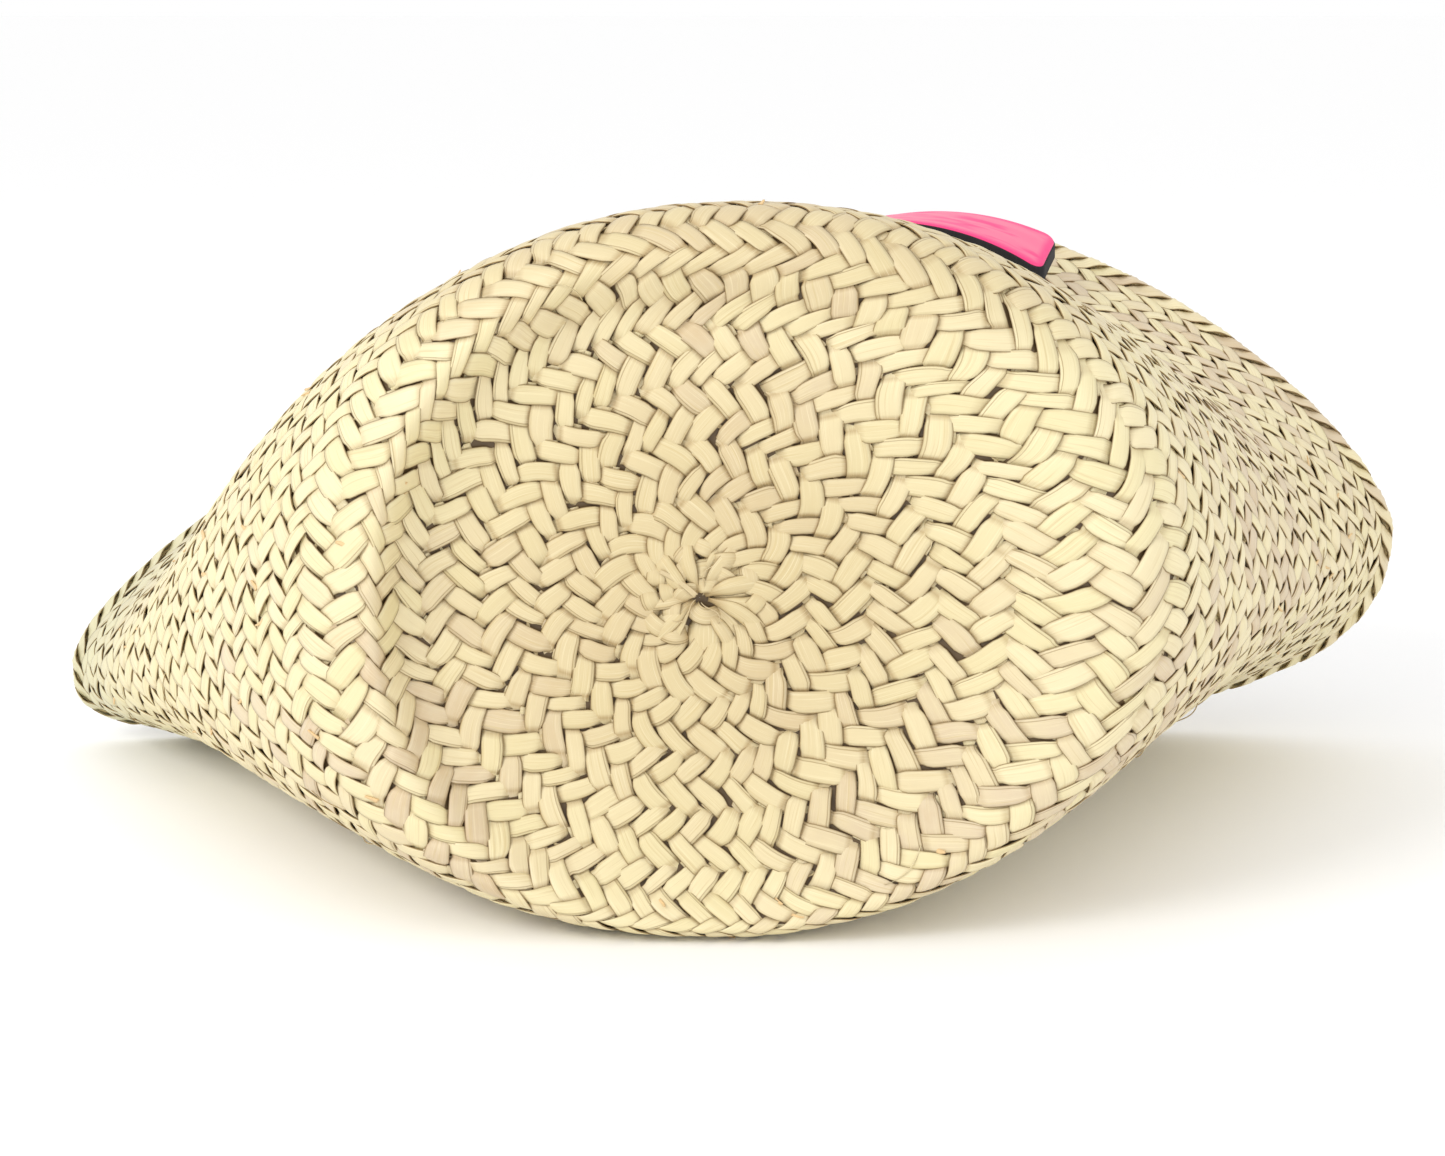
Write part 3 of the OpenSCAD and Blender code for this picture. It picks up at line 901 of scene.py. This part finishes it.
def leaf_material():
    n = Nodes("palm_leaf")
    w = n.attribute("strip_w")
    u = n.attribute("strip_u")
    ident = n.attribute("strip_id")
    hue = n.attribute("strip_hue")
    shade = n.attribute("strip_shade")
    own = n.math("MULTIPLY", ident, 97.0)
    veins = n.noise(n.vector(n.math("MULTIPLY", w, 5.5), n.math("MULTIPLY", u, 0.035), own), 1.0, 4.0)
    fine = n.noise(n.vector(n.math("MULTIPLY", w, 15.0), n.math("MULTIPLY", u, 0.05), own), 1.0, 2.0)
    patches = n.noise(n.vector(n.math("MULTIPLY", w, 0.5), n.math("MULTIPLY", u, 0.1), own), 1.0, 3.0)
    place = n.math("ADD", n.math("MULTIPLY", hue, 0.8), n.math("MULTIPLY", patches, 0.25))
    tone = n.ramp(place, LEAF_TONES)
    tone = n.mix(n.math("MULTIPLY", n.attribute("green"), 0.75), tone, STILL_GREEN)
    # darker towards the middle of the base; painted shade over the front of the top
    darker_middle_shaded_top = n.attribute("darker_middle_shaded_top")
    tone = n.mix(n.math("MULTIPLY", darker_middle_shaded_top, 0.8), tone, DARKER_MIDDLE_SHADED_TOP_LEAF)
    # painted shade where a strip lies between its neighbours, deeper towards the middle of the base and
    # over the front of the top
    depth = n.math("MULTIPLY_ADD", darker_middle_shaded_top, 0.4, 0.4)
    tone = n.mix(n.math("MULTIPLY", shade, depth), tone, PAINTED_SHADE_BETWEEN_FLOATS)
    dark_streak = n.steps(veins, 0.52, 0.72)
    tone = n.mix(n.math("MULTIPLY", dark_streak, 0.55), tone, DARK_VEIN)
    light_streak = n.steps(fine, 0.5, 0.75)
    tone = n.mix(n.math("MULTIPLY", light_streak, 0.28), tone, LIGHT_VEIN)
    # the cut edges of the leaf are browner, and the dark line there is also painted contact shade where
    # neighbouring strips meet
    edge = n.steps(n.math("ABSOLUTE", w), 0.88, 1.0)
    tone = n.mix(n.math("MULTIPLY", edge, 0.85), tone, CUT_EDGE_AND_CONTACT_SHADE)
    # the second leaf of a doubled strip shows as a line beside one edge
    doubled = n.math("GREATER_THAN", ident, 0.62)
    beside = n.math("ABSOLUTE", n.math("SUBTRACT", w, 0.7))
    line = n.math("MULTIPLY", n.math("SUBTRACT", 1.0, n.steps(beside, 0.015, 0.06)), doubled)
    tone = n.mix(n.math("MULTIPLY", line, 0.55), tone, DOUBLED_EDGE)
    # painted shadow: the sheet between the two faces of the plait is near black
    tone = n.mix(n.math("LESS_THAN", hue, -0.5), tone, PAINTED_SHADOW_SHEET)
    tone = n.mix(n.math("GREATER_THAN", hue, 1.1), tone, TORN_STUB)
    n.feed(n.shader.inputs["Base Color"], tone)
    n.shader.inputs["Roughness"].default_value = 0.46
    height = n.math("ADD", n.math("MULTIPLY", fine, 0.6), n.math("MULTIPLY", line, -1.0))
    n.feed(n.shader.inputs["Normal"], n.bump(height, 0.00012))
    return n.material


def leather_material():
    n = Nodes("pink_leather")
    edge = n.attribute("edge")
    x = n.attribute("strap_x")
    y = n.attribute("strap_y")
    streaks = n.noise(n.vector(n.math("MULTIPLY", x, 0.035), n.math("MULTIPLY", y, 0.16), 3.0), 1.0, 2.0)
    # painted sheen: the middle of the leather is a lighter pink than its edges, and lighter between deep
    # pink streaks that run along the brushed grain
    rim = n.math("SUBTRACT", 1.0, n.steps(edge, 1.2, 4.5))
    no_sheen_edge_and_grain = n.math("MAXIMUM", rim, n.steps(streaks, 0.46, 0.62))
    colour = n.mix(n.math("MULTIPLY", no_sheen_edge_and_grain, 0.9), (0.92, 0.16, 0.29), (0.88, 0.03, 0.21))
    n.feed(n.shader.inputs["Base Color"], colour)
    n.shader.inputs["Roughness"].default_value = 0.42
    n.shader.inputs["Specular IOR Level"].default_value = 0.5
    grain = n.noise(n.vector(x, y, 0.0), 1.6, 3.0)
    n.feed(n.shader.inputs["Normal"], n.bump(grain, 0.0001, 0.5))
    return n.material


def padding_material():
    n = Nodes("black_core")
    grain = n.noise(n.vector(n.attribute("strap_x"), n.attribute("strap_y"), 1.0), 1.2, 3.0)
    colour = n.mix(grain, (0.008, 0.008, 0.010), (0.022, 0.021, 0.024))
    n.feed(n.shader.inputs["Base Color"], colour)
    n.shader.inputs["Roughness"].default_value = 0.6
    n.shader.inputs["Specular IOR Level"].default_value = 0.2
    n.feed(n.shader.inputs["Normal"], n.bump(grain, 0.0002, 0.6))
    return n.material


def cord_material():
    n = Nodes("lacing_cord")
    place = n.add("ShaderNodeTexCoord").outputs["Object"]
    strands = n.noise(place, 900.0, 3.0)
    colour = n.mix(strands, (0.50, 0.37, 0.17), (0.76, 0.64, 0.38))
    n.feed(n.shader.inputs["Base Color"], colour)
    n.shader.inputs["Roughness"].default_value = 0.8
    n.feed(n.shader.inputs["Normal"], n.bump(strands, 0.0002, 0.8))
    return n.material


# --- floor, light and camera ---------------------------------------------------------------------


def build_floor():
    material = bpy.data.materials.new("floor")
    material.use_nodes = True
    shader = material.node_tree.nodes["Principled BSDF"]
    shader.inputs["Base Color"].default_value = (0.99, 0.99, 0.99, 1)
    shader.inputs["Roughness"].default_value = 1.0
    mesh = bpy.data.meshes.new("floor")
    size = 400
    corners = [(-size, -size, 0), (size, -size, 0), (size, size, 0), (-size, size, 0)]
    mesh.from_pydata(corners, [], [(0, 1, 2, 3)])
    mesh.materials.append(material)
    floor = bpy.data.objects.new("floor", mesh)
    bpy.context.scene.collection.objects.link(floor)


def area_light(name, location, size, power):
    data = bpy.data.lights.new(name, "AREA")
    data.energy = power
    data.size = size
    light = bpy.data.objects.new(name, data)
    light.location = location
    target = Vector((0, 0, 0.1))
    light.rotation_euler = (target - Vector(location)).to_track_quat("-Z", "Y").to_euler()
    bpy.context.scene.collection.objects.link(light)


def build_light():
    area_light("key", (-1.4, -1.3, 1.3), 0.9, 19)
    area_light("fill", (1.5, -1.6, 0.5), 1.4, 6)
    world = bpy.data.worlds.new("studio")
    world.use_nodes = True
    background = world.node_tree.nodes["Background"]
    background.inputs["Color"].default_value = (1, 1, 1, 1)
    background.inputs["Strength"].default_value = 1.0
    bpy.context.scene.world = world
    bpy.context.scene.view_settings.view_transform = "Standard"


CAMERA_AT = (-0.0035, -1.05, 0.32)
CAMERA_TILT = 78.2  # degrees from looking straight down
LENS = 67.3


def build_camera():
    data = bpy.data.cameras.new("camera")
    data.sensor_width = 36
    data.lens = LENS
    camera = bpy.data.objects.new("camera", data)
    camera.location = CAMERA_AT
    camera.rotation_euler = (math.radians(CAMERA_TILT), 0, 0)
    bpy.context.scene.collection.objects.link(camera)
    bpy.context.scene.camera = camera


# --- the basket ------------------------------------------------------------------------------------


def build_basket():
    leaf = leaf_material()
    cord = cord_material()
    looks = {"leather": leather_material(), "core": padding_material(), "cord": cord}
    build_knot(leaf)
    for index in range(TURNS):
        build_turn(index, leaf)
        number = "%02d" % (index + 1)
        lacing = ring_of_cord("lacing_cord_" + number, turn_start(index), -0.25, 0.8, 2, 5, 6, 1.6)
        finish_piece(lacing, cord, ["lacing_" + number])
    roll = ring_of_cord("rim_core", WALL_LENGTH, 0.0, 1.95, 3, 16, 8, 3.0)
    finish_piece(roll, cord, ["rim_roll"])
    build_handle(UPPER, looks)
    build_handle(LOWER, looks)


build_basket()
build_floor()
build_light()
build_camera()
bpy.context.view_layer.update()
